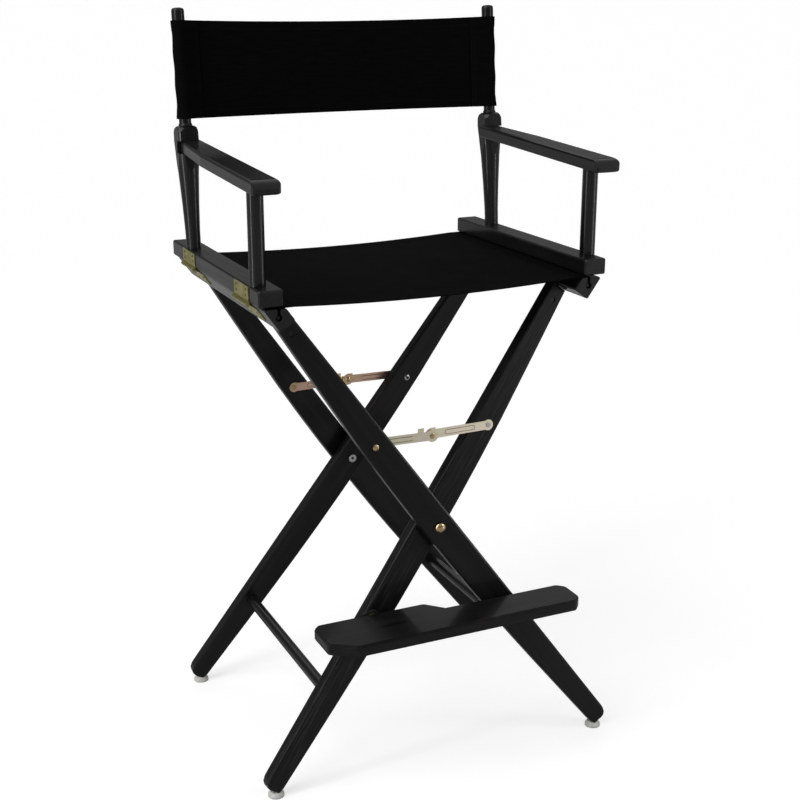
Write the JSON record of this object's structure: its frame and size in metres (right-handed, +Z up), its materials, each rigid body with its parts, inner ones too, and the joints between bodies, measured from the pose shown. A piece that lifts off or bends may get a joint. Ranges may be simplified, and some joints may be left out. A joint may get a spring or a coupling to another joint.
{
  "type": "director chair",
  "caption": "Bar-height folding director chair with crossed wooden legs, slung canvas seat and back, hinged arms, folding metal braces and a footrest.",
  "frame": {"origin": "on the floor, under the middle of the open chair's overall box", "axes": "+Z up; -Y is the front, where the footrest is; +X is the sitter's left, the viewer's right when the chair is seen from the front"},
  "size_m": [0.6006, 0.5306, 1.1806],
  "materials": {
    "lacquered_wood": "satin",
    "canvas": "matte",
    "hinge_brass": "satin",
    "rivet_brass": "satin",
    "strap_zinc": "satin",
    "glide_nylon": "matte",
    "rod_steel": "satin",
    "bolt_steel": "satin",
    "bracket_black": "satin"
  },
  "bodies": {
    "pivots": {"pivot_bolt_front": "rivet_brass", "pivot_bolt_rear": "rivet_brass"},
    "frame_a": {"leg_front_a": "lacquered_wood", "leg_rear_a": "lacquered_wood", "seat_rail_a": "lacquered_wood", "stretcher_a": "lacquered_wood", "glides_a": "glide_nylon", "leg_bolts_a": "bolt_steel", "brace_rivets_a": "rivet_brass", "lower_hinges_a": "hinge_brass", "hem_rod_a": "rod_steel", "footrest_cleat": "bracket_black", "seat_sling": "canvas"},
    "frame_b": {"leg_front_b": "lacquered_wood", "leg_rear_b": "lacquered_wood", "seat_rail_b": "lacquered_wood", "stretcher_b": "lacquered_wood", "glides_b": "glide_nylon", "leg_bolts_b": "bolt_steel", "brace_rivets_b": "rivet_brass", "lower_hinges_b": "hinge_brass", "hem_rod_b": "rod_steel", "footrest_pivot": "rivet_brass"},
    "arm_left": {"arm_rail_left": "lacquered_wood", "post_front_left": "lacquered_wood", "post_rear_left": "lacquered_wood", "armrest_left": "lacquered_wood", "upper_hinges_left": "hinge_brass", "back_sling": "canvas"},
    "arm_right": {"arm_rail_right": "lacquered_wood", "post_front_right": "lacquered_wood", "post_rear_right": "lacquered_wood", "armrest_right": "lacquered_wood", "upper_hinges_right": "hinge_brass"},
    "brace_arm_front_a": {"brace_front_a": "strap_zinc", "brace_pin_front_a": "rivet_brass"},
    "brace_arm_front_b": {"brace_front_b": "strap_zinc", "brace_pin_front_b": "rivet_brass"},
    "brace_arm_rear_a": {"brace_rear_a": "strap_zinc", "brace_pin_rear_a": "rivet_brass"},
    "brace_arm_rear_b": {"brace_rear_b": "strap_zinc", "brace_pin_rear_b": "rivet_brass"},
    "footrest_board": {"footrest": "lacquered_wood", "footrest_bracket": "bracket_black"}
  },
  "joints": [
    {"name": "fold", "type": "hinge", "parent": "frame_b", "child": "frame_a", "pos_m": [0, 0.0225, 0.404], "axis": [0, 1, 0], "range_deg": [0, 59], "deforming": ["seat_sling", "back_sling"]},
    {"name": "frame_b_lean", "type": "hinge", "parent": "pivots", "child": "frame_b", "pos_m": [0, 0.0225, 0.404], "axis": [0, 1, 0], "range_deg": [-29.5, 0]},
    {"name": "arm_left_level", "type": "hinge", "parent": "frame_a", "child": "arm_left", "pos_m": [-0.2886, 0.0225, 0.7806], "axis": [0, 1, 0], "range_deg": [-29.5, 0]},
    {"name": "arm_right_level", "type": "hinge", "parent": "frame_b", "child": "arm_right", "pos_m": [0.2886, 0.0225, 0.7806], "axis": [0, 1, 0], "range_deg": [0, 29.5]},
    {"name": "brace_front_a_fold", "type": "hinge", "parent": "frame_a", "child": "brace_arm_front_a", "pos_m": [-0.10264, -0.15519, 0.54631], "axis": [0.0459, 0.9969, -0.0636], "range_deg": [-108.69, 0]},
    {"name": "brace_front_b_fold", "type": "hinge", "parent": "frame_b", "child": "brace_arm_front_b", "pos_m": [0.10264, -0.12719, 0.54631], "axis": [-0.0459, 0.9969, -0.0636], "range_deg": [0, 108.69]},
    {"name": "brace_rear_a_fold", "type": "hinge", "parent": "frame_a", "child": "brace_arm_rear_a", "pos_m": [-0.10264, 0.20019, 0.54631], "axis": [-0.0459, 0.9969, 0.0636], "range_deg": [-108.69, 0]},
    {"name": "brace_rear_b_fold", "type": "hinge", "parent": "frame_b", "child": "brace_arm_rear_b", "pos_m": [0.10264, 0.17219, 0.54631], "axis": [0.0459, 0.9969, 0.0636], "range_deg": [0, 108.69]},
    {"name": "footrest_swing", "type": "hinge", "parent": "frame_b", "child": "footrest_board", "pos_m": [-0.11295, -0.15489, 0.2679], "axis": [-0.0459, 0.9969, -0.0636], "range_deg": [-67.86, 0]}
  ],
  "couplings": [
    {"joint": "frame_b_lean", "follows": "fold", "ratio": -0.5},
    {"joint": "arm_left_level", "follows": "fold", "ratio": -0.5},
    {"joint": "arm_right_level", "follows": "fold", "ratio": 0.5},
    {"joint": "brace_front_a_fold", "follows": "fold", "ratio": -1.842},
    {"joint": "brace_front_b_fold", "follows": "fold", "ratio": 1.842},
    {"joint": "brace_rear_a_fold", "follows": "fold", "ratio": -1.842},
    {"joint": "brace_rear_b_fold", "follows": "fold", "ratio": 1.842},
    {"joint": "footrest_swing", "follows": "fold", "ratio": -1.15}
  ]
}
